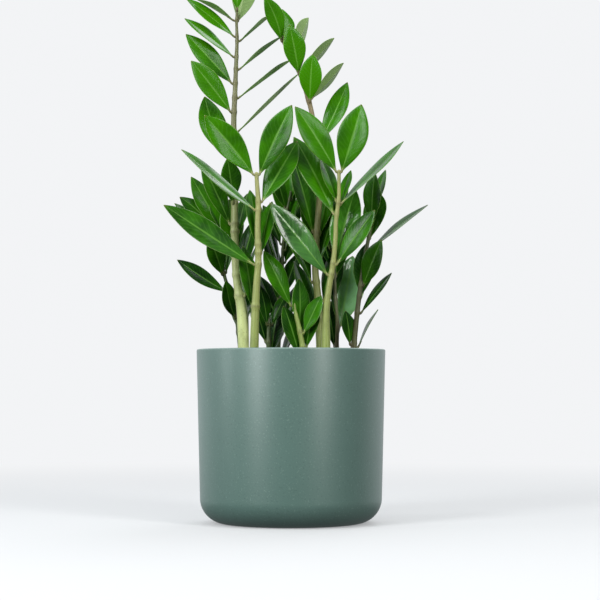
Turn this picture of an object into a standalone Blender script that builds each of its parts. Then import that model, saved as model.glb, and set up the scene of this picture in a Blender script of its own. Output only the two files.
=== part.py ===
"""A zz plant growing in a plain matte planter. Metres, +Z up, origin at the centre of the planter's foot.

The planter, the soil, every stem and the larger leaflets are separate closed solids. A leaflet springs from
the side of its own stem; its growth is told by where it starts and by three angles, as a botanist would.
"""

import math

import bmesh
import bpy
from mathutils import Matrix, Vector

MM = 0.001
GAP = 0.3 * MM  # between pieces that touch

# Planter: a shallow-tapered cylinder with a rounded foot.
PLANTER_HEIGHT = 165 * MM
RIM_RADIUS = 90 * MM
LOWER_RADIUS = 86.5 * MM  # where the wall runs into the foot's curve
FOOT_CURVE = 24 * MM
WALL = 4 * MM
FLOOR = 6 * MM
LIP_ROUND = 1.6 * MM
PLANTER_STEPS = 48

# Soil
SOIL_LEVEL = 143 * MM
SOIL_CROWN = 2 * MM  # how much higher the soil stands in the middle
CROWN_SHOULDER = (0.5, 0.8)  # this share of the way out, it still has this share of its crown
SOIL_STEPS = 36
ROOTED_DEPTH = 22 * MM  # how far a stem goes down into the soil
POCKET_CLEARANCE = 0.6 * MM
POCKET_SIDES = 12
POCKET_OVERRUN = 8 * MM  # how far the cutter stands above the soil

# Leaflets
LEAFLET_THICKNESS = 1.6 * MM
LEAFLET_FOLD = math.radians(9)  # each half rises this much from the midrib
NECK_WIDTH = 1.6 * MM
TIP_WIDTH = 0.8 * MM
WIDEST_SHIFT = 1.15  # above 1 the blade is widest past its middle
SHOULDER_FULLNESS = 0.85  # below 1 its shoulders are fuller than a sine's
LEAFLET_STANDOFF = 1.5 * MM  # from the stem's side to the middle of the leaflet's neck
LEAFLET_LENGTH_STEPS = 7
LEAFLET_WIDTH_STEPS = 2

# A stem is a list of (x, y, z, radius) in mm from the soil up.
# A leaflet is (height, turn, rise, length, width, roll, bend, sway). Height is along Z and, like length
# and width, in mm; turn is its compass heading from +X towards +Y, rise its climb above level, roll its
# twist about its own midrib, bend its arching over and sway its curving sideways, all in degrees.
FRONDS = {
    "left_tall": {
        "stem": [
            (-45, -8, 143, 5.0), (-45, -8, 169, 5.2), (-46, -7, 200, 5.6), (-51, -6, 226, 3.9),
            (-53, -5, 248, 3.7), (-54, -4, 279, 3.6), (-54, -3, 308, 3.2), (-55, -2, 348, 2.9),
            (-55, -1, 389, 2.6), (-54, 0, 409, 2.4), (-53, 2, 438, 2.0), (-52, 4, 464, 1.6),
            (-53, 6, 485, 1.3), (-51, 8, 509, 1.0),
        ],
        "leaflets": [
            (285, 190, 65, 64, 23, -65, 6, 0),
            (305, 250, 70, 43, 24, -125, 8, 0),
            (348, 150, 65, 69, 27, -45, 3, 22),
            (374, 20, 44, 86, 23, -15, -6, 0),
            (393, 210, 47, 62, 23, -95, 0, -4),
            (407, 15, 37, 65, 23, -10, -3, 0),
            (421, 190, 46, 64, 23, -70, 0, -2),
            (435, 15, 39, 54, 24, -10, -3, 0),
            (447, 190, 37, 59, 21, -40, 2, 0),
            (463, 15, 41, 40, 22, -10, -4, 0),
            (467, 190, 37, 58, 21, -45, 2, 0),
            (483, 185, 29, 41, 18, 5, 10, 0),
            (483, 55, 70, 66, 28, -120, 10, 0),
        ],
    },
    "right_tall": {
        "stem": [
            (29, 8, 143, 4.2), (28, 8, 169, 4.0), (26, 8, 213, 3.6), (23, 7, 241, 3.2),
            (25, 6, 280, 3.0), (28, 4, 318, 2.8), (27, 0, 349, 2.6), (22, -4, 381, 2.4),
            (18, -7, 400, 2.3), (9, -12, 428, 2.0), (-7, -18, 458, 1.7), (-14, -21, 474, 1.3),
        ],
        "leaflets": [
            (278, 160, 74, 75, 26, -30, 8, 0),
            (365, 15, 65, 64, 21, 55, 6, -14),
            (402, 280, 70, 45, 23, 155, 12, 0),
            (405, 20, 48, 49, 22, -35, -12, 0),
            (428, 240, 68, 47, 23, -130, 8, 0),
            (431, 15, 46, 46, 22, -30, -12, 0),
            (446, 40, 63, 43, 22, -70, -14, -16),
            (458, 230, 57, 46, 18, -120, 4, -24),
        ],
    },
    "front_left": {
        "stem": [
            (-35, -42, 143, 4.4), (-34, -42, 168, 4.2), (-33, -43, 201, 3.7), (-32, -44, 224, 3.3),
            (-30, -45, 245, 3.0), (-31, -47, 280, 2.7), (-30, -48, 299, 2.4), (-31, -49, 312, 2.1),
            (-32, -50, 327, 1.8),
        ],
        "leaflets": [
            (204, 135, 78, 59, 23, -5, 10, 0),
            (243, 195, 32, 101, 31, -55, -8, -4),
            (294, 195, 38, 88, 27, -35, -8, 0),
            (302, 20, 59, 68, 29, 45, 6, -6),
            (327, 200, 48, 71, 27, -95, 8, -4),
            (327, 335, 62, 71, 27, 100, 8, 2),
        ],
    },
    "front_right": {
        "stem": [
            (32, -36, 143, 4.5), (33, -36, 168, 4.2), (33, -37, 201, 3.2), (36, -38, 224, 2.8),
            (40, -39, 246, 2.4), (42, -41, 270, 2.2), (42, -42, 285, 2.0), (45, -44, 304, 1.8),
            (45, -46, 330, 1.6),
        ],
        "leaflets": [
            (234, 200, 49, 87, 26, -85, 10, 4),
            (244, 340, 53, 62, 22, 75, -6, 6),
            (245, 40, 71, 75, 29, 35, 6, 8),
            (291, 160, 62, 84, 28, -45, 10, 0),
            (301, 20, 44, 88, 30, 6, -10, 0),
            (330, 205, 54, 72, 26, -95, 3, -6),
            (330, 325, 70, 65, 30, 110, 6, -8),
        ],
    },
    "far_right": {
        "stem": [
            (58, -2, 143, 2.8), (60, -2, 169, 2.6), (63, -1, 198, 2.4), (66, 0, 222, 2.2),
            (69, 1, 243, 2.0), (73, 2, 265, 1.8), (77, 3, 284, 1.6), (79, 4, 304, 1.3),
        ],
        "leaflets": [
            (167, 0, 62, 41, 19, 5, 6, 0),
            (200, 350, 52, 48, 20, 30, -4, 0),
            (226, 320, 63, 48, 24, 90, 14, -10),
            (260, 5, 38, 72, 24, 13, 2, 0),
            (272, 60, 77, 49, 27, -5, 6, -34),
            (285, 285, 78, 49, 24, 120, 6, 6),
        ],
    },
    "back_left": {
        "stem": [
            (-47, 24, 143, 3.0), (-49, 24, 170, 2.8), (-52, 24, 194, 2.4), (-59, 23, 220, 2.0),
            (-65, 22, 236, 1.6), (-67, 21, 250, 1.2), (-63, 20, 276, 1.0),
        ],
        "leaflets": [
            (196, 235, 68, 38, 18, -105, 0, 22),
            (221, 185, 33, 57, 21, -50, -16, 0),
            (238, 235, 59, 41, 21, -110, 6, -6),
        ],
    },
    "short_middle": {
        "stem": [
            (13, -28, 143, 2.8), (11, -28, 168, 2.6), (8, -28, 184, 2.2), (4, -27, 200, 1.8),
            (2, -27, 207, 1.4),
        ],
        "leaflets": [
            (180, 340, 63, 39, 19, 70, 6, -8),
            (206, 195, 63, 57, 22, -70, 12, 8),
        ],
    },
    "short_inner": {
        "stem": [(-21, -14, 143, 2.6), (-21, -14, 169, 2.4), (-21, -14, 186, 2.0), (-21, -14, 194, 1.4)],
        "leaflets": [
            (188, 235, 72, 39, 16, -100, 8, -8),
        ],
    },
    "thin_right": {
        "stem": [
            (43, 16, 143, 2.2), (44, 16, 169, 2.0), (45, 16, 189, 1.8), (43, 17, 213, 1.6),
            (41, 18, 252, 1.5), (38, 19, 286, 1.3), (38, 20, 315, 1.0),
        ],
        "leaflets": [
            (186, 58, 70, 76, 34, 40, 4, 0),
        ],
    },
    "thin_inner": {
        "stem": [
            (-14, 22, 143, 2.2), (-12, 22, 170, 2.0), (-11, 22, 189, 1.9), (-10, 23, 223, 1.8),
            (-8, 24, 262, 1.6), (-5, 25, 296, 1.4), (0, 26, 319, 1.1),
        ],
        "leaflets": [],
    },
}


def collection(name):
    made = bpy.data.collections.new(name)
    bpy.context.scene.collection.children.link(made)
    return made


def material(name, colour, roughness):
    made = bpy.data.materials.new(name)
    made.use_nodes = True
    shader = made.node_tree.nodes["Principled BSDF"]
    shader.inputs["Base Color"].default_value = (*colour, 1)
    shader.inputs["Roughness"].default_value = roughness
    shader.inputs["Metallic"].default_value = 0
    return made


def add_object(name, data, finish, group):
    made = bpy.data.objects.new(name, data)
    data.materials.append(finish)
    group.objects.link(made)
    return made


def mesh_from(name, sheet):
    mesh = bpy.data.meshes.new(name)
    sheet.to_mesh(mesh)
    sheet.free()
    mesh.shade_smooth()
    return mesh


def arc(centre_x, centre_z, radius, start, end, steps):
    """Points of a round stretch of a profile, from one angle to another, in degrees from +X towards +Z."""
    angles = [math.radians(start + (end - start) * step / steps) for step in range(steps + 1)]
    return [(centre_x + radius * math.cos(a), centre_z + radius * math.sin(a)) for a in angles]


def turned(name, profile, steps, finish, group):
    """A solid of revolution whose profile starts and ends on the Z axis."""
    sheet = bmesh.new()
    points = [sheet.verts.new((x, 0, z)) for x, z in profile]
    for first, second in zip(points, points[1:]):
        sheet.edges.new((first, second))
    made = add_object(name, mesh_from(name, sheet), finish, group)
    screw = made.modifiers.new("Turn", "SCREW")
    screw.steps = steps
    screw.render_steps = steps
    screw.use_merge_vertices = True
    screw.merge_threshold = 0.01 * MM
    return made


def wall_radius(height):
    """Outer radius of the planter's straight wall at a height above its foot."""
    share = (height - FOOT_CURVE) / (PLANTER_HEIGHT - FOOT_CURVE)
    return LOWER_RADIUS + (RIM_RADIUS - LOWER_RADIUS) * share


def planter_profile():
    inner_curve = FOOT_CURVE - WALL
    inner_corner = arc(LOWER_RADIUS - FOOT_CURVE, FLOOR + inner_curve, inner_curve, 270, 360, 5)
    lip_height = PLANTER_HEIGHT - LIP_ROUND
    inner_lip = arc(RIM_RADIUS - WALL + LIP_ROUND, lip_height, LIP_ROUND, 180, 90, 2)
    outer_lip = arc(RIM_RADIUS - LIP_ROUND, lip_height, LIP_ROUND, 90, 0, 2)
    outer_corner = arc(LOWER_RADIUS - FOOT_CURVE, FOOT_CURVE, FOOT_CURVE, 0, -90, 6)
    return [(0, FLOOR)] + inner_corner + inner_lip + outer_lip + outer_corner + [(0, 0)]


def soil_profile():
    """The soil fills the planter up to its level, a gap clear of the inside."""
    inner_curve = FOOT_CURVE - WALL
    edge = wall_radius(SOIL_LEVEL) - WALL - GAP
    out, left = CROWN_SHOULDER
    crown = [(0, SOIL_LEVEL + SOIL_CROWN), (out * edge, SOIL_LEVEL + left * SOIL_CROWN), (edge, SOIL_LEVEL)]
    corner = arc(LOWER_RADIUS - FOOT_CURVE, FLOOR + inner_curve, inner_curve - 2 * GAP, 0, -90, 5)
    return crown + corner + [(0, corner[-1][1])]


def stem_line(stem):
    """A stem's points in metres, with its buried foot first, straight down under the lowest one."""
    line = [(Vector((x, y, z)) * MM, radius * MM) for x, y, z, radius in stem]
    foot, foot_radius = line[0]
    return [(foot - Vector((0, 0, ROOTED_DEPTH)), foot_radius)] + line


def along(line, height):
    """The stem's centre and radius where it passes a height."""
    for (low, low_radius), (high, high_radius) in zip(line, line[1:]):
        if height <= high.z:
            break
    share = (height - low.z) / (high.z - low.z)
    return low.lerp(high, share), low_radius + (high_radius - low_radius) * share


def make_stem(name, line, finish, group):
    """A tapering tube, with its origin on the soil."""
    origin = line[1][0]
    curve = bpy.data.curves.new(name, "CURVE")
    curve.dimensions = "3D"
    curve.bevel_depth = MM
    curve.bevel_resolution = 2
    curve.use_fill_caps = True
    spline = curve.splines.new("POLY")
    spline.points.add(len(line) - 1)
    for point, (centre, radius) in zip(spline.points, line):
        point.co = (*(centre - origin), 1)
        point.radius = radius / MM
    made = add_object(name, curve, finish, group)
    made.location = origin
    return made


def leaflet_half_width(share, width):
    """Half the blade's width at a share of its length: a wedge-shaped foot, full shoulders, a short tip."""
    inside = 0 < share < 1
    blade = 0.5 * width * math.sin(math.pi * share**WIDEST_SHIFT) ** SHOULDER_FULLNESS if inside else 0
    least = 0.5 * (NECK_WIDTH + (TIP_WIDTH - NECK_WIDTH) * share)
    return max(blade, least)


def leaflet_mesh(name, length, width, bend, sway):
    """A blade along +X with its face up: folded at the midrib, arched over and curved to one side."""
    sheet = bmesh.new()
    bmesh.ops.create_grid(sheet, x_segments=LEAFLET_LENGTH_STEPS, y_segments=LEAFLET_WIDTH_STEPS, size=0.5)
    for point in sheet.verts:
        share = min(max(point.co.x + 0.5, 0), 1)
        across = 2 * point.co.y * leaflet_half_width(share, width)
        hump = length * share * (1 - share)
        point.co.x = length * share
        point.co.y = across + hump * math.tan(sway / 2)
        point.co.z = abs(across) * math.tan(LEAFLET_FOLD) + hump * math.tan(bend / 2)
    return mesh_from(name, sheet)


def make_leaflet(name, line, stem, growth, finish, group):
    """A leaflet on its stem's side, with its origin at its neck."""
    height, turn, rise, length, width, roll, bend, sway = growth
    centre, radius = along(line, height * MM)
    heading = math.radians(turn)
    outward = Vector((math.cos(heading), math.sin(heading), 0))
    mesh = leaflet_mesh(name, length * MM, width * MM, math.radians(bend), math.radians(sway))
    made = add_object(name, mesh, finish, group)
    made.parent = stem
    made.location = centre + outward * (radius + LEAFLET_STANDOFF) - stem.location
    made.rotation_euler = (math.radians(roll), -math.radians(rise), heading)
    thicken = made.modifiers.new("Blade", "SOLIDIFY")
    thicken.thickness = LEAFLET_THICKNESS
    thicken.offset = 0
    return made


def cut_pockets(soil, lines, finish, group):
    """Round pockets in the soil, one for the buried foot of each stem."""
    sheet = bmesh.new()
    for line in lines:
        foot, radius = line[0]
        bottom = foot.z - GAP
        top = SOIL_LEVEL + POCKET_OVERRUN
        pocket = (radius + POCKET_CLEARANCE) / math.cos(math.pi / POCKET_SIDES)
        middle = Matrix.Translation((foot.x, foot.y, 0.5 * (bottom + top)))
        depth = top - bottom
        bmesh.ops.create_cone(
            sheet,
            cap_ends=True,
            segments=POCKET_SIDES,
            radius1=pocket,
            radius2=pocket,
            depth=depth,
            matrix=middle,
        )
    cutter = add_object("stem_pockets", mesh_from("stem_pockets", sheet), finish, group)
    cutter.hide_render = True
    cutter.display_type = "WIRE"
    cut = soil.modifiers.new("Pockets", "BOOLEAN")
    cut.operation = "DIFFERENCE"
    cut.object = cutter


def main():
    for old in list(bpy.data.objects):
        bpy.data.objects.remove(old, do_unlink=True)
    plant = collection("potted_zz_plant")
    cutters = collection("cutters")
    glaze = material("planter_green", (0.112, 0.2, 0.168), 0.6)
    earth = material("soil_brown", (0.03, 0.019, 0.012), 0.95)
    stalk = material("stem_green", (0.42, 0.5, 0.2), 0.5)
    blade = material("leaflet_green", (0.045, 0.17, 0.02), 0.28)

    turned("planter", planter_profile(), PLANTER_STEPS, glaze, plant)
    soil = turned("soil", soil_profile(), SOIL_STEPS, earth, plant)

    lines = {name: stem_line(frond["stem"]) for name, frond in FRONDS.items()}
    cut_pockets(soil, lines.values(), earth, cutters)
    for name, frond in FRONDS.items():
        stem = make_stem(f"{name}_stem", lines[name], stalk, plant)
        for number, growth in enumerate(frond["leaflets"], start=1):
            make_leaflet(f"{name}_leaflet_{number:02d}", lines[name], stem, growth, blade, plant)


main()
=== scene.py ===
"""The looks of the potted zz plant: planter, soil, ten stems and their glossy leaflets. Metres, +Z up."""

import math
import random

import bmesh
import bpy
from mathutils import Euler, Matrix, Vector, noise


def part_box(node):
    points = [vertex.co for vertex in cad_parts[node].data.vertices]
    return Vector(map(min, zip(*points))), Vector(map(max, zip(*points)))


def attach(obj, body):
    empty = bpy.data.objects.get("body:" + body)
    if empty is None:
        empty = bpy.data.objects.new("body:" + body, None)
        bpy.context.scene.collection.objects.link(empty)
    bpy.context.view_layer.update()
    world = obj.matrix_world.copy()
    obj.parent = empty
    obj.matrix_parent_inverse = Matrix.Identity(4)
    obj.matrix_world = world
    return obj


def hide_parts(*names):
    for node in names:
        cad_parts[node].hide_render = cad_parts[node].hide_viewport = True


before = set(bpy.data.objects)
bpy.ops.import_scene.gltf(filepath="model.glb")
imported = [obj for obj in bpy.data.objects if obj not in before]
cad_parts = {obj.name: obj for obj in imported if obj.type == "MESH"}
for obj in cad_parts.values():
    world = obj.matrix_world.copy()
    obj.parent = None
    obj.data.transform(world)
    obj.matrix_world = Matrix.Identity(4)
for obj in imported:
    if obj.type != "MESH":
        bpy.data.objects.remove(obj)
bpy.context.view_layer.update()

MM = 0.001
BODY = "root"

# Camera and studio
CAMERA_PLACE = (0.0086, -1.71, 0.1315)
CAMERA_LOOKS_UP = math.radians(2.7)
LENS = 107.4  # mm, on a sensor 36 mm wide
BACKGROUND = (0.895, 0.905, 0.92)
ROOM_FRONT = 0.14
ROOM_BACK = 0.95
ROOM_BELOW = 0.16
LIGHTS_AIM = 0.25  # height of the plant's middle
# Each softbox: name, turn from the camera's side towards +X and climb above level in degrees, distance,
# its sides in metres, watts and colour.
SOFTBOXES = (
    ("key", -40, 23, 1.8, (0.5, 1.45), 27, (0.97, 0.99, 1.0)),
    ("second", 38, 23, 1.8, (0.42, 1.45), 19, (1.0, 0.99, 0.97)),
    ("side", -82, 16, 1.9, (0.5, 1.1), 9, (0.95, 0.98, 1.0)),
    ("rear", 155, 42, 1.8, (0.8, 1.0), 6, (0.97, 0.99, 1.0)),
    ("overhead", 0, 66, 1.8, (1.0, 1.0), 8, (1.0, 1.0, 1.0)),
)
FLOOR_RADIUS = 8.0
FLOOR_FADES_FROM = 0.3
FLOOR_FADES_TO = 1.4
FLOOR_GLOW = 0.35  # the share of its brightness that needs no lamp, which keeps its shadows pale

# Planter
WALL = 4 * MM
FLOOR = 6 * MM
FOOT_CURVE = 24 * MM
LIP_ROUND = 1.6 * MM
FOOT_TAPER = 3.5 * MM  # the wall leans in by this much between the rim and the foot's curve
PLANTER_STEPS = 144

# Soil
SOIL_DEPTH_UNDER_RIM = 22 * MM
SOIL_CROWN = 2 * MM
SOIL_RING = 1.4 * MM  # spacing of the rings that its surface is made of
SOIL_STEPS = 180
SOIL_LUMPS = 1.6 * MM
CRUMBS = 1100
CRUMB_SIZES = (0.5, 2.4, 0.9)  # smallest, largest and most usual radius in mm
CRUMB_SIDES = ((0.7, 1.5), (0.6, 1.1), (0.45, 0.9))  # how far each side of a crumb is stretched or squashed

# Stems
ROOTED_DEPTH = 12 * MM
STEM_STEP = 2 * MM
STEM_EASING = 7 * MM  # bends are eased over this much height
NODE_SWELL = 0.2
NODE_REACH = 2.2 * MM
RING_REACH = 0.7 * MM
STEM_POINT = 0.2 * MM  # radius of its very tip

# Leaflets
LEAFLET_FOLD = math.radians(9)
LEAFLET_STANDOFF = 1.5 * MM
LEAFLET_CAMBER = 0.16
LEAFLET_THICKNESS = 1.3 * MM
NECK_WIDTH = 1.6 * MM
TIP_WIDTH = 0.5 * MM
WIDEST_SHIFT = 1.15  # above 1, the blade is widest past half way
SHOULDER_FULLNESS = 0.85  # below 1, the blade's ends are fuller
RIPPLE = (0.02, 0.06)  # how far the margin waves, as a share of half the width
LARGEST_TWIST = 7  # degrees along the blade
MARGIN_THICKNESS = 0.35  # as a share of the midrib's
SMALL_SHINE = 0.14  # the most that a plain leaflet has
TONE_SPREAD = 0.08
BLADE_STEPS = 22
HALF_STEPS = 4
SPUR_START = 1.9 * MM  # radius of a leaflet's stalk where it leaves the stem
SPUR_NECK = 1.1 * MM  # and where it meets the blade
SPUR_END = 0.55 * MM  # and inside the blade
SPUR_BEND = 1.6 * MM  # it turns into the blade's heading over this much
SPUR_REACH = 7 * MM
SPUR_STEPS = 5

# A stem is a list of (x, y, z, radius) in mm from the soil up.
# A leaflet is (height, turn, rise, length, width, roll, bend, sway). Height is along Z and, like length
# and width, in mm; turn is its compass heading from +X towards +Y, rise its climb above level, roll its
# twist about its own midrib, bend its arching over and sway its curving sideways, all in degrees.
# Inner leaflets are the small and hidden ones, which have no solid of their own in the frame.
# Stem colours are the lowest, the highest, and how fast the one turns into the other.
# Tones are how light the lowest and the highest leaflets are, from 0 to 1: partly leaf age, partly painted
# light and shade, the top leaflets paler as if lit through and the lower and inner ones darker as if shaded.
FRONDS = {
    "left_tall": {
        "stem": [
            (-45, -8, 143, 5.0), (-45, -8, 169, 5.2), (-46, -7, 200, 5.6), (-51, -6, 226, 3.9),
            (-53, -5, 248, 3.7), (-54, -4, 279, 3.6), (-54, -3, 308, 3.2), (-55, -2, 348, 2.9),
            (-55, -1, 389, 2.6), (-54, 0, 409, 2.4), (-53, 2, 438, 2.0), (-52, 4, 464, 1.6),
            (-53, 6, 485, 1.3), (-51, 8, 509, 1.0),
        ],
        "leaflets": [
            (285, 190, 65, 64, 23, -65, 6, 0),
            (305, 250, 70, 43, 24, -125, 8, 0),
            (348, 150, 65, 69, 27, -45, 3, 22),
            (374, 20, 44, 86, 23, -15, -6, 0),
            (393, 210, 47, 62, 23, -95, 0, -4),
            (407, 15, 37, 65, 23, -10, -3, 0),
            (421, 190, 46, 64, 23, -70, 0, -2),
            (435, 15, 39, 54, 24, -10, -3, 0),
            (447, 190, 37, 59, 21, -40, 2, 0),
            (463, 15, 41, 40, 22, -10, -4, 0),
            (467, 190, 37, 58, 21, -45, 2, 0),
            (483, 185, 29, 41, 18, 5, 10, 0),
            (483, 55, 70, 66, 28, -120, 10, 0),
        ],
        "inner_leaflets": [
            (493, 280, 80, 40, 17, 150, 10, 0),
            (277, 45, 73, 40, 18, 5, 6, 0),
            (236, 30, 74, 58, 26, 10, 6, 0),
            (216, 330, 74, 50, 24, 40, 6, 0),
            (256, 110, 76, 56, 24, -5, 6, 0),
        ],
        "stem_colours": ("cream", "olive", 1.6),
        "tones_with_painted_light": (0.2, 0.85),
    },
    "right_tall": {
        "stem": [
            (29, 8, 143, 4.2), (28, 8, 169, 4.0), (26, 8, 213, 3.6), (23, 7, 241, 3.2),
            (25, 6, 280, 3.0), (28, 4, 318, 2.8), (27, 0, 349, 2.6), (22, -4, 381, 2.4),
            (18, -7, 400, 2.3), (9, -12, 428, 2.0), (-7, -18, 458, 1.7), (-14, -21, 474, 1.3),
        ],
        "leaflets": [
            (278, 160, 74, 75, 26, -30, 8, 0),
            (365, 15, 65, 64, 21, 55, 6, -14),
            (402, 280, 70, 45, 23, 155, 12, 0),
            (405, 20, 48, 49, 22, -35, -12, 0),
            (428, 240, 68, 47, 23, -130, 8, 0),
            (431, 15, 46, 46, 22, -30, -12, 0),
            (446, 40, 63, 43, 22, -70, -14, -16),
            (458, 230, 57, 46, 18, -120, 4, -24),
        ],
        "inner_leaflets": [
            (457, 105, 82, 34, 23, 15, 4, -8),
            (276, 45, 73, 43, 21, 5, 8, 0),
            (194, 160, 70, 60, 26, -20, 6, 0),
            (212, 20, 74, 58, 24, 10, 6, 0),
            (230, 170, 66, 70, 28, -25, 6, 0),
            (250, 15, 72, 62, 26, 15, 6, 0),
            (262, 110, 80, 70, 28, 0, 6, 0),
        ],
        "stem_colours": ("lime", "tan", 1.5),
        "tones_with_painted_light": (0.3, 0.8),
    },
    "front_left": {
        "stem": [
            (-35, -42, 143, 4.4), (-34, -42, 168, 4.2), (-33, -43, 201, 3.7), (-32, -44, 224, 3.3),
            (-30, -45, 245, 3.0), (-31, -47, 280, 2.7), (-30, -48, 299, 2.4), (-31, -49, 312, 2.1),
            (-32, -50, 327, 1.8),
        ],
        "leaflets": [
            (204, 135, 78, 59, 23, -5, 10, 0),
            (243, 195, 32, 101, 31, -55, -8, -4),
            (294, 195, 38, 88, 27, -35, -8, 0),
            (302, 20, 59, 68, 29, 45, 6, -6),
            (327, 200, 48, 71, 27, -95, 8, -4),
            (327, 335, 62, 71, 27, 100, 8, 2),
        ],
        "inner_leaflets": [
            (254, 50, 73, 52, 22, 0, 8, 0),
            (262, 115, 74, 55, 23, 20, 8, 0),
        ],
        "stem_colours": ("lime", "straw", 1.2),
        "tones_with_painted_light": (0.25, 0.62),
    },
    "front_right": {
        "stem": [
            (32, -36, 143, 4.5), (33, -36, 168, 4.2), (33, -37, 201, 3.2), (36, -38, 224, 2.8),
            (40, -39, 246, 2.4), (42, -41, 270, 2.2), (42, -42, 285, 2.0), (45, -44, 304, 1.8),
            (45, -46, 330, 1.6),
        ],
        "leaflets": [
            (234, 200, 49, 87, 26, -85, 10, 4),
            (244, 340, 53, 62, 22, 75, -6, 6),
            (245, 40, 71, 75, 29, 35, 6, 8),
            (291, 160, 62, 84, 28, -45, 10, 0),
            (301, 20, 44, 88, 30, 6, -10, 0),
            (330, 205, 54, 72, 26, -95, 3, -6),
            (330, 325, 70, 65, 30, 110, 6, -8),
        ],
        "inner_leaflets": [
            (300, 45, 67, 36, 16, -5, 4, 0),
            (303, 145, 67, 45, 22, -5, 6, 0),
        ],
        "stem_colours": ("lime", "straw", 1.2),
        "tones_with_painted_light": (0.25, 0.7),
    },
    "far_right": {
        "stem": [
            (58, -2, 143, 2.8), (60, -2, 169, 2.6), (63, -1, 198, 2.4), (66, 0, 222, 2.2),
            (69, 1, 243, 2.0), (73, 2, 265, 1.8), (77, 3, 284, 1.6), (79, 4, 304, 1.3),
        ],
        "leaflets": [
            (167, 0, 62, 41, 19, 5, 6, 0),
            (200, 350, 52, 48, 20, 30, -4, 0),
            (226, 320, 63, 48, 24, 90, 14, -10),
            (260, 5, 38, 72, 24, 13, 2, 0),
            (272, 60, 77, 49, 27, -5, 6, -34),
            (285, 285, 78, 49, 24, 120, 6, 6),
        ],
        "inner_leaflets": [
            (299, 35, 72, 42, 19, -5, 6, 0),
            (216, 60, 79, 52, 21, 35, 6, 0),
            (170, 195, 82, 32, 18, -65, 6, 0),
        ],
        "stem_colours": ("brown", "moss", 1),
        "tones_with_painted_light": (0.15, 0.5),
    },
    "back_left": {
        "stem": [
            (-47, 24, 143, 3.0), (-49, 24, 170, 2.8), (-52, 24, 194, 2.4), (-59, 23, 220, 2.0),
            (-65, 22, 236, 1.6), (-67, 21, 250, 1.2), (-63, 20, 276, 1.0),
        ],
        "leaflets": [
            (196, 235, 68, 38, 18, -105, 0, 22),
            (221, 185, 33, 57, 21, -50, -16, 0),
            (238, 235, 59, 41, 21, -110, 6, -6),
        ],
        "inner_leaflets": [
            (240, 30, 85, 39, 18, 20, 6, 0),
            (271, 170, 45, 61, 24, -50, 14, -14),
            (265, 160, 41, 67, 21, -25, 10, 0),
            (276, 145, 66, 43, 18, -10, 6, 0),
            (276, 165, 60, 67, 21, -60, 10, 0),
            (206, 20, 74, 56, 26, 10, 6, 0),
            (182, 80, 76, 50, 22, 0, 6, 0),
        ],
        "stem_colours": ("moss", "moss", 1),
        "tones_with_painted_light": (0.2, 0.45),
    },
    "short_middle": {
        "stem": [
            (13, -28, 143, 2.8), (11, -28, 168, 2.6), (8, -28, 184, 2.2), (4, -27, 200, 1.8),
            (2, -27, 207, 1.4),
        ],
        "leaflets": [
            (180, 340, 63, 39, 19, 70, 6, -8),
            (206, 195, 63, 57, 22, -70, 12, 8),
        ],
        "inner_leaflets": [
            (182, 95, 84, 50, 21, 30, 6, 0),
            (158, 165, 72, 50, 24, -30, 6, 0),
            (166, 30, 76, 46, 22, 20, 6, 0),
        ],
        "stem_colours": ("lime", "lime", 1),
        "tones_with_painted_light": (0.35, 0.5),
    },
    "short_inner": {
        "stem": [(-21, -14, 143, 2.6), (-21, -14, 169, 2.4), (-21, -14, 186, 2.0), (-21, -14, 194, 1.4)],
        "leaflets": [
            (188, 235, 72, 39, 16, -100, 8, -8),
        ],
        "inner_leaflets": [
            (188, 15, 64, 33, 15, 30, 8, 0),
            (158, 60, 74, 50, 22, 10, 6, 0),
            (172, 150, 70, 42, 20, -20, 6, 0),
        ],
        "stem_colours": ("moss", "moss", 1),
        "tones_with_painted_light": (0.2, 0.2),
    },
    "thin_right": {
        "stem": [
            (43, 16, 143, 2.2), (44, 16, 169, 2.0), (45, 16, 189, 1.8), (43, 17, 213, 1.6),
            (41, 18, 252, 1.5), (38, 19, 286, 1.3), (38, 20, 315, 1.0),
        ],
        "leaflets": [
            (186, 58, 70, 76, 34, 40, 4, 0),
        ],
        "inner_leaflets": [
            (279, 130, 79, 55, 21, 0, 6, 0),
            (286, 35, 68, 49, 21, 10, 6, 0),
            (244, 165, 71, 48, 19, -30, 6, 0),
            (213, 105, 78, 66, 22, -10, 6, 0),
            (236, 60, 74, 60, 24, 10, 6, 0),
            (262, 150, 70, 56, 24, -20, 6, 0),
            (168, 130, 76, 50, 22, -10, 6, 0),
        ],
        "stem_colours": ("brown", "moss", 1),
        "tones_with_painted_light": (0.1, 0.4),
    },
    "thin_inner": {
        "stem": [
            (-14, 22, 143, 2.2), (-12, 22, 170, 2.0), (-11, 22, 189, 1.9), (-10, 23, 223, 1.8),
            (-8, 24, 262, 1.6), (-5, 25, 296, 1.4), (0, 26, 319, 1.1),
        ],
        "leaflets": [],
        "inner_leaflets": [
            (311, 40, 77, 51, 19, 5, 6, 0),
            (303, 160, 72, 33, 21, -25, 6, 0),
            (276, 20, 65, 44, 18, 30, 6, 0),
            (268, 165, 65, 42, 19, -30, 6, 0),
            (250, 25, 65, 39, 19, 25, 6, 0),
            (231, 155, 73, 47, 21, -20, 6, 0),
            (217, 20, 70, 46, 21, 25, 6, 0),
            (213, 220, 85, 37, 19, -85, 6, 0),
            (152, 350, 68, 46, 22, 30, 6, 0),
            (155, 200, 72, 44, 22, -40, 6, 0),
            (180, 20, 72, 52, 24, 10, 6, 0),
            (192, 150, 66, 50, 24, -15, 6, 0),
            (245, 200, 72, 52, 24, -40, 6, 0),
            (262, 330, 72, 60, 26, 40, 6, 0),
            (290, 100, 80, 60, 26, 0, 6, 0),
        ],
        "stem_colours": ("moss", "moss", 1),
        "tones_with_painted_light": (0.05, 0.55),
    },
}
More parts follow.
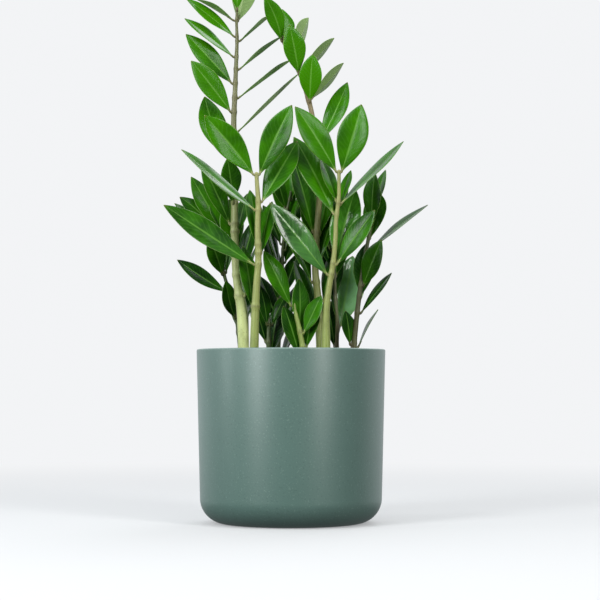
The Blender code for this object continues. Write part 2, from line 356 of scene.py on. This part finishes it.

# Leaflets whose tone doesn't follow from their height: painted light and shade, paler where light falls on
# them or shines through, and thin_right_blade_01 paler to make up for the shade it sits in.
PAINTED_LIGHT_TONES = {
    "front_right_blade_01": 0.42,
    "thin_right_blade_01": 0.85,
    "left_tall_blade_04": 1.0,
    "left_tall_blade_05": 0.95,
    "left_tall_blade_06": 1.0,
    "left_tall_blade_08": 1.0,
    "left_tall_blade_10": 1.0,
    "right_tall_blade_04": 0.9,
    "right_tall_blade_06": 0.9,
    "right_tall_blade_07": 0.9,
    "right_tall_blade_03": 0.95,
    "right_tall_blade_05": 0.95,
}

# Leaflets with a hard shine: a clear coat and a painted sheen of pale bluish patches. Above 1, only the
# painted sheen grows, which lightens a leaflet that sits in shade.
SHINE_AND_PAINTED_SHEEN = {
    "front_right_blade_01": 1,
    "thin_right_blade_01": 1.6,
    "front_left_blade_02": 0.5,
    "front_right_blade_03": 0.6,
}

# From the palest stem to the darkest.
STEM_COLOURS = {
    "cream": (0.68, 0.78, 0.32),
    "lime": (0.24, 0.32, 0.07),
    "straw": (0.33, 0.34, 0.12),
    "tan": (0.24, 0.19, 0.1),
    "olive": (0.13, 0.13, 0.05),
    "brown": (0.1, 0.085, 0.035),
    "moss": (0.04, 0.07, 0.015),
}


# Shader arithmetic


class Value:
    """A shader socket that takes part in sums, so that 1 - mask adds a Math node."""

    def __init__(self, tree, socket):
        self.tree = tree
        self.socket = socket

    def maths(self, operation, *terms):
        node = self.tree.nodes.new("ShaderNodeMath")
        node.operation = operation
        for entry, term in zip(node.inputs, terms):
            feed(self.tree, entry, term)
        return Value(self.tree, node.outputs[0])

    def __add__(self, other):
        return self.maths("ADD", self, other)

    def __sub__(self, other):
        return self.maths("SUBTRACT", self, other)

    def __rsub__(self, other):
        return self.maths("SUBTRACT", other, self)

    def __mul__(self, other):
        return self.maths("MULTIPLY", self, other)

    def __truediv__(self, other):
        return self.maths("DIVIDE", self, other)

    def __pow__(self, other):
        return self.maths("POWER", self, other)

    def __abs__(self):
        return self.maths("ABSOLUTE", self)

    __radd__ = __add__
    __rmul__ = __mul__


def feed(tree, entry, value):
    """Links a socket, or sets a plain number or colour."""
    if isinstance(value, Value):
        tree.links.new(value.socket, entry)
    else:
        entry.default_value = value


class Finish:
    """A node tree being filled: one method adds any node, and the rest are short names for the usual ones."""

    def __init__(self, owner):
        owner.use_nodes = True
        self.owner = owner
        self.tree = owner.node_tree

    def node(self, kind, settings, values, output=0):
        made = self.tree.nodes.new(kind)
        for name, setting in settings.items():
            setattr(made, name, setting)
        for name, value in values.items():
            feed(self.tree, made.inputs[name], value)
        return Value(self.tree, made.outputs[output])

    def place(self):
        return self.node("ShaderNodeTexCoord", {}, {}, "Object")

    def part(self, vector, axis):
        return self.node("ShaderNodeSeparateXYZ", {}, {"Vector": vector}, axis)

    def stretched(self, vector, scale):
        return self.node("ShaderNodeMapping", {}, {"Vector": vector, "Scale": scale})

    def noise(self, vector, scale, detail):
        return self.node("ShaderNodeTexNoise", {}, {"Vector": vector, "Scale": scale, "Detail": detail})

    def own(self, name, output="Fac"):
        """A value that the mesh itself carries."""
        return self.node("ShaderNodeAttribute", {"attribute_name": name}, {}, output)

    def ease(self, value, start, end):
        """0 up to start, 1 from end on, and smooth between them."""
        settings = {"interpolation_type": "SMOOTHSTEP"}
        return self.node("ShaderNodeMapRange", settings, {"Value": value, "From Min": start, "From Max": end})

    def blend(self, share, first, second):
        """A colour between two colours."""
        made = self.tree.nodes.new("ShaderNodeMix")
        made.data_type = "RGBA"
        factor, first_entry, second_entry = (made.inputs[number] for number in (0, 6, 7))
        feed(self.tree, factor, share)
        feed(self.tree, first_entry, colour(first))
        feed(self.tree, second_entry, colour(second))
        return Value(self.tree, made.outputs[2])

    def relief(self, height, distance, strength=1.0):
        return self.node("ShaderNodeBump", {}, {"Height": height, "Distance": distance, "Strength": strength})

    def principled(self, **values):
        shader = self.tree.nodes["Principled BSDF"]
        for name, value in values.items():
            feed(self.tree, shader.inputs[name.replace("_", " ")], value)
        return self.owner


def colour(value):
    return (*value, 1) if isinstance(value, tuple) and len(value) == 3 else value


def new_finish(name):
    return Finish(bpy.data.materials.new(name))


# Finishes


def planter_finish():
    """Matte grey-green glaze with fine pale and dark flecks, and a painted highlight along the top of the
    rim.
    """
    made = new_finish("planter_matte_green")
    place = made.place()
    clouds = made.noise(place, 12, 3)
    flecks = made.noise(place, 640, 1)
    grain = made.noise(place, 900, 2)
    pale = made.ease(flecks, 0.64, 0.74)
    dark = made.ease(flecks, 0.36, 0.27)
    # painted highlight: the top of the rim is made paler where it would catch the light
    rim_highlight = made.ease(made.part(place, "Z"), RIM_HEIGHT - 1.4 * MM, RIM_HEIGHT - 0.5 * MM)
    base = made.blend(clouds, (0.078, 0.148, 0.126), (0.1, 0.18, 0.156))
    base = made.blend(pale * 0.3, base, (0.25, 0.36, 0.31))
    base = made.blend(dark * 0.4, base, (0.04, 0.08, 0.066))
    base = made.blend(rim_highlight * 0.3, base, (0.3, 0.4, 0.36))
    return made.principled(
        Base_Color=base,
        Roughness=0.3 + grain * 0.14,
        Specular_IOR_Level=0.85,
        Normal=made.relief(grain + flecks * 0.5, 0.12 * MM, 0.6),
    )


def soil_finish():
    """Damp dark compost with paler fibre."""
    made = new_finish("soil_compost")
    place = made.place()
    coarse = made.noise(place, 160, 4)
    fine = made.noise(place, 900, 4)
    base = made.blend(made.ease(coarse, 0.35, 0.7), (0.012, 0.008, 0.005), (0.06, 0.038, 0.022))
    base = made.blend(made.ease(fine, 0.6, 0.72), base, (0.14, 0.09, 0.05))
    return made.principled(
        Base_Color=base,
        Roughness=0.85 + fine * 0.15,
        Normal=made.relief(fine + coarse, 0.6 * MM),
    )


def crumb_finish():
    """Loose crumbs of compost and bark, each with its own tone."""
    made = new_finish("soil_crumb")
    place = made.place()
    tone = made.own("tone")
    grain = made.noise(place, 1400, 3)
    base = made.blend(tone, (0.014, 0.009, 0.006), (0.15, 0.095, 0.055))
    base = made.blend(made.ease(grain, 0.5, 0.7) * 0.5, base, (0.2, 0.14, 0.09))
    return made.principled(Base_Color=base, Roughness=0.8 + grain * 0.2, Normal=made.relief(grain, 0.3 * MM))


def stem_finish():
    """Fleshy stalk, finely ribbed along its length, with dark specks and a scar ring at each leaflet."""
    made = new_finish("stem_flesh")
    place = made.place()
    ribs = made.noise(made.stretched(place, (1, 1, 0.06)), 900, 3)
    blotches = made.noise(made.stretched(place, (1, 1, 0.4)), 110, 3)
    specks = made.ease(made.noise(place, 800, 1), 0.66, 0.72)
    ring = made.own("ring")
    skin = made.own("skin", "Color")
    base = made.blend(made.ease(blotches, 0.45, 0.75) * 0.45, skin, (0.09, 0.12, 0.03))
    base = made.blend(made.ease(ribs, 0.55, 0.75) * 0.25, base, (0.62, 0.66, 0.38))
    base = made.blend(specks * 0.5, base, (0.05, 0.06, 0.02))
    base = made.blend(ring * 0.55, base, (0.11, 0.1, 0.035))
    return made.principled(
        Base_Color=base,
        Roughness=0.34 + blotches * 0.2,
        Normal=made.relief(ribs, 0.25 * MM, 0.7),
    )


def blade_masks(made):
    """How far along the blade a point is, how far out from its midrib, and where its midrib and veins run."""
    spot = made.node("ShaderNodeUVMap", {"uv_map": "blade"}, {})
    along = made.part(spot, "X")
    out = abs(made.part(spot, "Y") * 2 - 1)
    midrib = 1 - made.ease(out / (0.16 - along * 0.09), 0.25, 1)
    wander = made.noise(made.place(), 90, 2)
    sweep = (along * 13 - out * 2.6 + wander * 1.6) * (2 * math.pi)
    wave = sweep.maths("SINE", sweep) * 0.5 + 0.5
    veins = wave**7 * made.ease(out, 0.05, 0.2) * made.ease(out, 1.0, 0.75)
    return along, out, midrib, veins


def blade_face_finish():
    """The leaflet's blotchy upper face: paler along the midrib and the margin, browner at the tip.

    A glossy leaflet has a clear coat that is worn off in spots, and a painted sheen: pale bluish patches that
    stand in for reflected sky.
    """
    made = new_finish("leaflet_face")
    place = made.place()
    along, out, midrib, veins = blade_masks(made)
    tone = made.own("tone")
    coat_and_painted_sheen = made.own("coat_and_painted_sheen")
    mottle = made.noise(place, 70, 3)
    blotches = made.noise(place, 38, 2)
    dust = made.noise(place, 260, 3)
    lightness = tone + (mottle - 0.5) * 0.7 + (blotches - 0.5) * 0.9
    base = made.blend(made.ease(lightness, 0.0, 1.0), (0.003, 0.026, 0.003), (0.042, 0.21, 0.0))
    # painted sheen: pale bluish patches standing in for reflected light, strong enough on some leaflets to
    # lighten them in their shade
    painted_sheen_patches = made.ease(blotches + mottle, 0.7, 1.25)
    base = made.blend(coat_and_painted_sheen**3 * painted_sheen_patches * 0.22, base, (0.17, 0.36, 0.17))
    base = made.blend(veins * (0.1 + coat_and_painted_sheen * 0.1), base, (0.12, 0.36, 0.05))
    base = made.blend(made.ease(out, 0.9, 1.0) * 0.4, base, (0.14, 0.34, 0.03))
    base = made.blend(midrib * 0.5, base, (0.17, 0.4, 0.06))
    base = made.blend(made.ease(along, 0.1, 0.0) * 0.7, base, (0.3, 0.42, 0.1))
    base = made.blend(made.ease(along, 0.95, 1.0) * 0.7, base, (0.12, 0.1, 0.02))
    height = blotches * 2 + mottle * 1.2 + dust * 0.12 - veins * 0.3 - midrib * 0.8
    return made.principled(
        Base_Color=base,
        Roughness=0.14 + dust * 0.14 + midrib * 0.1,
        Specular_IOR_Level=0.13,
        Coat_Weight=coat_and_painted_sheen.maths("MINIMUM", coat_and_painted_sheen, 1) * made.ease(dust + mottle * 0.5, 0.95, 0.6),
        Coat_Roughness=0.1,
        Normal=made.relief(height, 0.3 * MM, 0.3),
    )


def blade_back_finish():
    """The leaflet's dull, pale underside with its raised midrib; its paleness is partly the underside's own
    and partly painted light standing in for light bounced up from below.
    """
    made = new_finish("leaflet_back")
    place = made.place()
    along, _, midrib, veins = blade_masks(made)
    tone = made.own("tone")
    mottle = made.noise(place, 90, 3)
    lightness = tone * 0.7 + mottle * 0.4
    # partly painted light: the underside colour is made paler to stand in for light bounced up from below
    base = made.blend(made.ease(lightness, 0.0, 1.0), (0.035, 0.1, 0.025), (0.27, 0.43, 0.14))
    base = made.blend(veins * 0.16, base, (0.08, 0.17, 0.05))
    base = made.blend(midrib * 0.6, base, (0.34, 0.46, 0.2))
    base = made.blend(made.ease(along, 0.95, 1.0) * 0.7, base, (0.12, 0.1, 0.02))
    return made.principled(
        Base_Color=base,
        Roughness=0.36 + mottle * 0.15,
        Normal=made.relief(veins * 0.4 + midrib + mottle * 0.4, 0.35 * MM, 0.6),
    )


def blade_edge_finish():
    """The thin pale margin."""
    made = new_finish("leaflet_margin")
    place = made.place()
    tone = made.own("tone")
    patches = made.noise(place, 120, 2)
    base = made.blend(tone, (0.05, 0.12, 0.03), (0.22, 0.42, 0.08))
    base = made.blend(patches * 0.4, base, (0.2, 0.26, 0.06))
    return made.principled(Base_Color=base, Roughness=0.3 + patches * 0.1)


# Modelling helpers


def add_piece(name, mesh, slot, *finishes):
    """A finished object at the origin, riding on the plant."""
    for finish in finishes:
        mesh.materials.append(finish)
    mesh.shade_smooth()
    piece = bpy.data.objects.new(name, mesh)
    bpy.context.scene.collection.objects.link(piece)
    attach(piece, BODY)
    return piece


def mesh_from(name, sheet):
    mesh = bpy.data.meshes.new(name)
    sheet.to_mesh(mesh)
    sheet.free()
    return mesh


def arc(centre_x, centre_z, radius, start, end, steps):
    """Points of a round stretch of a profile, from one angle to another, in degrees from +X towards +Z."""
    angles = [math.radians(start + (end - start) * step / steps) for step in range(steps + 1)]
    return [(centre_x + radius * math.cos(a), centre_z + radius * math.sin(a)) for a in angles]


def turned(profile, steps):
    """A closed turned solid from a profile that starts and ends on the Z axis."""
    sheet = bmesh.new()
    points = [sheet.verts.new((x, 0, z)) for x, z in profile]
    edges = [sheet.edges.new(pair) for pair in zip(points, points[1:])]
    bmesh.ops.spin(
        sheet,
        geom=points + edges,
        cent=(0, 0, 0),
        axis=(0, 0, 1),
        angle=2 * math.pi,
        steps=steps,
        use_merge=True,
    )
    bmesh.ops.remove_doubles(sheet, verts=sheet.verts, dist=0.01 * MM)
    bmesh.ops.recalc_face_normals(sheet, faces=sheet.faces)
    return sheet


def set_values(mesh, name, values):
    """Gives every vertex a number of its own that a finish can read."""
    layer = mesh.attributes.new(name, "FLOAT", "POINT")
    layer.data.foreach_set("value", values)


# Planter and soil


def planter_profile():
    inner_curve = FOOT_CURVE - WALL
    corner_x = RIM_RADIUS - FOOT_TAPER - FOOT_CURVE
    lip_height = RIM_HEIGHT - LIP_ROUND
    inner_corner = arc(corner_x, FLOOR + inner_curve, inner_curve, 270, 360, 10)
    lip = arc(RIM_RADIUS - WALL + LIP_ROUND, lip_height, LIP_ROUND, 180, 90, 6)
    lip += arc(RIM_RADIUS - LIP_ROUND, lip_height, LIP_ROUND, 90, 0, 6)
    outer_corner = arc(corner_x, FOOT_CURVE, FOOT_CURVE, 0, -90, 20)
    return [(0, FLOOR)] + inner_corner + lip + outer_corner + [(0, 0)]


def make_planter():
    sheet = turned(planter_profile(), PLANTER_STEPS)
    piece = add_piece("planter_body", mesh_from("planter_body", sheet), "planter", planter_finish())
    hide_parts("planter")


def soil_radius(height):
    share = (height - FOOT_CURVE) / (RIM_HEIGHT - FOOT_CURVE)
    return RIM_RADIUS - FOOT_TAPER * (1 - share) - WALL - 0.2 * MM


def soil_height(x, y):
    """The soil's uneven top: a low crown, broad lumps and small clods."""
    out = math.hypot(x, y) / RIM_RADIUS
    broad = noise.noise(Vector((x, y, 0)) * 28)
    clods = noise.noise(Vector((x, y, 0.5)) * 140) + 0.6 * noise.noise(Vector((x, y, 0.9)) * 330)
    return SOIL_LEVEL + SOIL_CROWN * (1 - out * out) + SOIL_LUMPS * (0.6 * broad + 0.5 * clods)


def make_soil():
    edge = soil_radius(SOIL_LEVEL)
    rings = round(edge / SOIL_RING)
    top = [(edge * ring / rings, SOIL_LEVEL) for ring in range(rings + 1)]
    skirt = SOIL_LEVEL - 20 * MM
    sheet = turned(top + [(soil_radius(skirt), skirt), (0, skirt)], SOIL_STEPS)
    for point in sheet.verts:
        if point.co.z > SOIL_LEVEL - MM:
            point.co.z = soil_height(point.co.x, point.co.y)
    piece = add_piece("soil_bed", mesh_from("soil_bed", sheet), "soil", soil_finish())
    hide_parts("soil")


def make_crumbs():
    chance = random.Random("crumbs")
    sheet = bmesh.new()
    tone = sheet.verts.layers.float.new("tone")
    reach = soil_radius(SOIL_LEVEL) - 2.5 * MM
    for _ in range(CRUMBS):
        heading = chance.uniform(0, 2 * math.pi)
        out = reach * math.sqrt(chance.random())
        size = chance.triangular(*CRUMB_SIZES) * MM
        x = out * math.cos(heading)
        y = out * math.sin(heading)
        sides = [chance.uniform(*span) for span in CRUMB_SIDES]
        squash = Matrix.Diagonal((*sides, 1))
        spin = Euler([chance.uniform(0, 6.3) for _ in range(3)]).to_matrix().to_4x4()
        place = Matrix.Translation((x, y, soil_height(x, y) + 0.3 * size)) @ spin @ squash
        crumb = bmesh.ops.create_icosphere(sheet, subdivisions=1, radius=size, matrix=place)["verts"]
        shade = chance.random() ** 2
        for point in crumb:
            point[tone] = shade
            point.co += 0.25 * size * noise.noise_vector(point.co * 900)
    add_piece("soil_crumbs", mesh_from("soil_crumbs", sheet), "soil", crumb_finish())


# Stems


def stem_line(stem):
    """A stem's points in metres, with its buried foot first."""
    line = [(Vector((x, y, z)) * MM, radius * MM) for x, y, z, radius in stem]
    foot, foot_radius = line[0]
    return [(foot - Vector((0, 0, ROOTED_DEPTH)), foot_radius)] + line


def along(line, height):
    """The stem's centre and radius where it passes a height."""
    height = min(max(height, line[0][0].z), line[-1][0].z)
    for (low, low_radius), (high, high_radius) in zip(line, line[1:]):
        if height <= high.z:
            break
    share = (height - low.z) / (high.z - low.z)
    return low.lerp(high, share), low_radius + (high_radius - low_radius) * share


def eased(line, height):
    """The same with the line's corners rounded off."""
    spots = [along(line, height + step * STEM_EASING) for step in (-1, -0.5, 0, 0.5, 1)]
    centre = sum((spot for spot, _ in spots), Vector()) / len(spots)
    radius = sum(radius for _, radius in spots) / len(spots)
    return Vector((centre.x, centre.y, height)), radius


def nearness(height, marks, reach):
    """1 at a mark, falling away over the reach."""
    return max((math.exp(-(((height - mark) / reach) ** 2)) for mark in marks), default=0)


def stem_run(line, marks):
    bottom = line[0][0].z
    top = line[-1][0].z
    steps = math.ceil((top - bottom) / STEM_STEP)
    run = []
    for step in range(steps + 1):
        height = bottom + (top - bottom) * step / steps
        centre, radius = eased(line, height)
        run.append((centre, radius * (1 + NODE_SWELL * nearness(height, marks, NODE_REACH))))
    tip, tip_radius = run[-1]
    shoulder = (tip + Vector((0, 0, 0.7 * tip_radius)), 0.75 * tip_radius)
    point = (tip + Vector((0, 0, tip_radius)), STEM_POINT)
    return run + [shoulder, point]


def spur_run(line, growth):
    """A leaflet's short stalk: out of the stem's middle, up into the blade's foot."""
    height, turn, rise = growth[:3]
    centre, radius = along(line, height * MM)
    outward = Vector((math.cos(math.radians(turn)), math.sin(math.radians(turn)), 0))
    heading = Euler((0, -math.radians(rise), math.radians(turn))).to_matrix() @ Vector((1, 0, 0))
    start = centre + outward * (0.3 * radius)
    neck = centre + outward * (radius + LEAFLET_STANDOFF)
    bend = neck - heading * SPUR_BEND
    thick = min(SPUR_START, 0.75 * radius)
    run = []
    for step in range(SPUR_STEPS + 1):
        share = step / SPUR_STEPS
        spot = start * (1 - share) ** 2 + bend * 2 * share * (1 - share) + neck * share**2
        run.append((spot, thick + (SPUR_NECK - thick) * share))
    return run + [(neck + heading * 0.5 * SPUR_REACH, 0.8 * MM), (neck + heading * SPUR_REACH, SPUR_END)]


def tubes(name, runs):
    """One mesh of round tubes, each run a list of centres and radii."""
    curve = bpy.data.curves.new(name, "CURVE")
    curve.dimensions = "3D"
    curve.bevel_depth = 1
    curve.bevel_resolution = 4
    curve.use_fill_caps = True
    for run in runs:
        spline = curve.splines.new("POLY")
        spline.points.add(len(run) - 1)
        for point, (centre, radius) in zip(spline.points, run):
            point.co = (*centre, 1)
            point.radius = radius
    holder = bpy.data.objects.new(name, curve)
    mesh = bpy.data.meshes.new_from_object(holder)
    bpy.data.objects.remove(holder)
    bpy.data.curves.remove(curve)
    return mesh


def make_stem(name, frond, line, finish):
    leaflets = frond["leaflets"] + frond["inner_leaflets"]
    marks = [growth[0] * MM for growth in leaflets]
    mesh = tubes(f"{name}_stalk", [stem_run(line, marks)] + [spur_run(line, growth) for growth in leaflets])
    top = line[-1][0].z
    low_shade, high_shade, haste = frond["stem_colours"]
    low_colour = Vector(STEM_COLOURS[low_shade])
    high_colour = Vector(STEM_COLOURS[high_shade])
    skin = mesh.attributes.new("skin", "FLOAT_COLOR", "POINT")
    for point, entry in zip(mesh.vertices, skin.data):
        share = min(max(haste * (point.co.z - SOIL_LEVEL) / (top - SOIL_LEVEL), 0), 1)
        entry.color = (*low_colour.lerp(high_colour, share), 1)
    set_values(mesh, "ring", [nearness(point.co.z, marks, RING_REACH) for point in mesh.vertices])
    piece = add_piece(f"{name}_stalk", mesh, "stem", finish)
    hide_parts(f"{name}_stem")


# Leaflets


def half_width(share, width):
    """Half the blade's width at a share of its length: a narrow foot, widest past half way, a sharp tip."""
    blade = 0.5 * width * math.sin(math.pi * share**WIDEST_SHIFT) ** SHOULDER_FULLNESS if 0 < share < 1 else 0
    return max(blade, 0.5 * (NECK_WIDTH + (TIP_WIDTH - NECK_WIDTH) * share))


def blade_mesh(name, growth, tone):
    """A thin blade along +X, face up: folded at the midrib, each half arched, the margins a little wavy."""
    length, width, _, bend, sway = growth[3:]
    chance = random.Random(name)
    ripple = chance.uniform(*RIPPLE)
    ripple_phase = chance.uniform(0, 2 * math.pi)
    twist = math.radians(chance.uniform(-LARGEST_TWIST, LARGEST_TWIST))
    arch = math.tan(math.radians(bend) / 2)
    side = math.tan(math.radians(sway) / 2)
    sheet = bmesh.new()
    spots = sheet.loops.layers.uv.new("blade")
    thick = sheet.verts.layers.deform.new()
    bmesh.ops.create_grid(sheet, x_segments=BLADE_STEPS, y_segments=2 * HALF_STEPS, size=0.5)
    for face in sheet.faces:
        for corner in face.loops:
            corner[spots].uv = (corner.vert.co.x + 0.5, corner.vert.co.y + 0.5)
    for point in sheet.verts:
        share = min(max(point.co.x + 0.5, 0), 1)
        out = 2 * point.co.y
        half = half_width(share, width * MM)
        hump = length * MM * share * (1 - share)
        wave = ripple * out * out * math.sin(2.2 * math.pi * share + ripple_phase + (1.3 if out > 0 else 0))
        lift = abs(out) * math.tan(LEAFLET_FOLD) + LEAFLET_CAMBER * (abs(out) - out * out) + wave
        across = Vector((0, out * half, half * lift))
        across.rotate(Euler((twist * (share - 0.3), 0, 0)))
        point[thick][0] = max(MARGIN_THICKNESS, 1 - 0.75 * abs(out) ** 0.7)
        point.co = Vector((length * MM * share, hump * side, hump * arch)) + across
    mesh = mesh_from(name, sheet)
    set_values(mesh, "tone", [tone] * len(mesh.vertices))
    # the clear coat's weight, and how strong the painted sheen is
    coat_and_painted_sheen = SHINE_AND_PAINTED_SHEEN.get(name, chance.uniform(0, SMALL_SHINE))
    set_values(mesh, "coat_and_painted_sheen", [coat_and_painted_sheen] * len(mesh.vertices))
    return mesh


def make_blade(name, line, growth, tone, finishes):
    height, turn, rise = growth[:3]
    roll = growth[5]
    centre, radius = along(line, height * MM)
    outward = Vector((math.cos(math.radians(turn)), math.sin(math.radians(turn)), 0))
    lie = Euler((math.radians(roll), -math.radians(rise), math.radians(turn))).to_matrix().to_4x4()
    mesh = blade_mesh(name, growth, tone)
    mesh.transform(Matrix.Translation(centre + outward * (radius + LEAFLET_STANDOFF)) @ lie)
    piece = add_piece(name, mesh, "leaflet", *finishes)
    piece.vertex_groups.new(name="thickness")
    body = piece.modifiers.new("Body", "SOLIDIFY")
    body.thickness = LEAFLET_THICKNESS
    body.offset = 0
    body.vertex_group = "thickness"
    body.thickness_vertex_group = 0
    body.material_offset = 1
    body.material_offset_rim = 2
    rounded = piece.modifiers.new("Rounded", "SUBSURF")
    rounded.levels = 1
    rounded.render_levels = 1
    return piece


def make_fronds():
    stalk = stem_finish()
    finishes = (blade_face_finish(), blade_back_finish(), blade_edge_finish())
    for name, frond in FRONDS.items():
        line = stem_line(frond["stem"])
        make_stem(name, frond, line, stalk)
        top = line[-1][0].z
        darkest, lightest = frond["tones_with_painted_light"]
        for kind in ("leaflets", "inner_leaflets"):
            for number, growth in enumerate(frond[kind], start=1):
                title = "blade" if kind == "leaflets" else "inner_blade"
                piece_name = f"{name}_{title}_{number:02d}"
                # tone by height, partly leaf age and partly painted light and shade: paler up top as if lit
                # through, darker low down and inside as if shaded
                share = (growth[0] * MM - SOIL_LEVEL) / (top - SOIL_LEVEL)
                tone = darkest + (lightest - darkest) * share
                tone += random.Random(piece_name).uniform(-TONE_SPREAD, TONE_SPREAD)
                # painted light and shade: the listed leaflets get a tone of their own
                tone = PAINTED_LIGHT_TONES.get(piece_name, tone)
                piece = make_blade(piece_name, line, growth, tone, finishes)
                if kind == "leaflets":
                    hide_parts(f"{name}_leaflet_{number:02d}")


# Studio


def make_floor():
    """A wide pale floor that turns into the plain background further out."""
    sheet = bmesh.new()
    bmesh.ops.create_circle(sheet, cap_ends=True, segments=96, radius=FLOOR_RADIUS)
    mesh = mesh_from("floor", sheet)
    made = new_finish("floor_paper")
    place = made.place()
    flat = made.node("ShaderNodeVectorMath", {"operation": "MULTIPLY"}, {0: place, 1: (1, 1, 0)})
    out = made.node("ShaderNodeVectorMath", {"operation": "LENGTH"}, {0: flat}, "Value")
    far = FLOOR_GLOW + (1 - FLOOR_GLOW) * made.ease(out, FLOOR_FADES_FROM, FLOOR_FADES_TO)
    made.principled(Base_Color=(0.62, 0.63, 0.64, 1), Roughness=0.9)
    paper = Value(made.tree, made.tree.nodes["Principled BSDF"].outputs[0])
    glow = made.node("ShaderNodeEmission", {}, {"Color": colour(BACKGROUND), "Strength": 1.0})
    both = made.node("ShaderNodeMixShader", {}, {0: far, 1: paper, 2: glow})
    feed(made.tree, made.tree.nodes["Material Output"].inputs["Surface"], both)
    mesh.materials.append(made.owner)
    floor = bpy.data.objects.new("floor", mesh)
    floor.visible_diffuse = False
    floor.visible_glossy = False
    bpy.context.scene.collection.objects.link(floor)


def make_room():
    """A plain background, and a room that is bright behind the plant and dimmer in front of it."""
    world = bpy.data.worlds.new("studio")
    bpy.context.scene.world = world
    made = Finish(world)
    toward = made.node("ShaderNodeTexCoord", {}, {}, "Generated")
    behind = made.ease(made.part(toward, "Y"), -0.1, 0.6)
    level = made.part(toward, "Z")
    walls = ROOM_FRONT + behind * (ROOM_BACK - ROOM_FRONT) + made.ease(level, 0.1, 0.9) * 0.2
    strength = ROOM_BELOW + (walls - ROOM_BELOW) * made.ease(level, -0.35, 0.05)
    room = made.node("ShaderNodeBackground", {}, {"Color": (0.93, 0.97, 1.0, 1), "Strength": strength})
    plain = made.node("ShaderNodeBackground", {}, {"Color": colour(BACKGROUND), "Strength": 1.0})
    seen = made.node("ShaderNodeLightPath", {}, {}, "Is Camera Ray")
    both = made.node("ShaderNodeMixShader", {}, {0: seen, 1: room, 2: plain})
    feed(made.tree, made.tree.nodes["World Output"].inputs["Surface"], both)


def make_softbox(name, turn, climb, distance, size, power, tint):
    """A soft rectangular light aimed at the plant's middle."""
    light = bpy.data.lights.new(name, "AREA")
    light.shape = "RECTANGLE"
    light.size, light.size_y = size
    light.energy = power
    light.color = tint
    turn = math.radians(turn)
    climb = math.radians(climb)
    aim = Vector((0, 0, LIGHTS_AIM))
    direction = Vector((math.sin(turn) * math.cos(climb), -math.cos(turn) * math.cos(climb), math.sin(climb)))
    softbox = bpy.data.objects.new(name, light)
    softbox.location = aim + direction * distance
    softbox.rotation_euler = direction.to_track_quat("Z", "Y").to_euler()
    softbox.visible_camera = False
    bpy.context.scene.collection.objects.link(softbox)


def make_camera():
    lens = bpy.data.cameras.new("camera")
    lens.lens = LENS
    lens.sensor_width = 36
    lens.clip_end = 50
    camera = bpy.data.objects.new("camera", lens)
    camera.location = CAMERA_PLACE
    camera.rotation_euler = (math.radians(90) + CAMERA_LOOKS_UP, 0, 0)
    bpy.context.scene.collection.objects.link(camera)
    bpy.context.scene.camera = camera


planter_low, planter_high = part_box("planter")
RIM_RADIUS = planter_high.x
RIM_HEIGHT = planter_high.z
SOIL_LEVEL = RIM_HEIGHT - SOIL_DEPTH_UNDER_RIM

make_camera()
make_planter()
make_soil()
make_crumbs()
make_fronds()
make_floor()
make_room()
for softbox in SOFTBOXES:
    make_softbox(*softbox)
bpy.context.scene.view_settings.view_transform = "Standard"
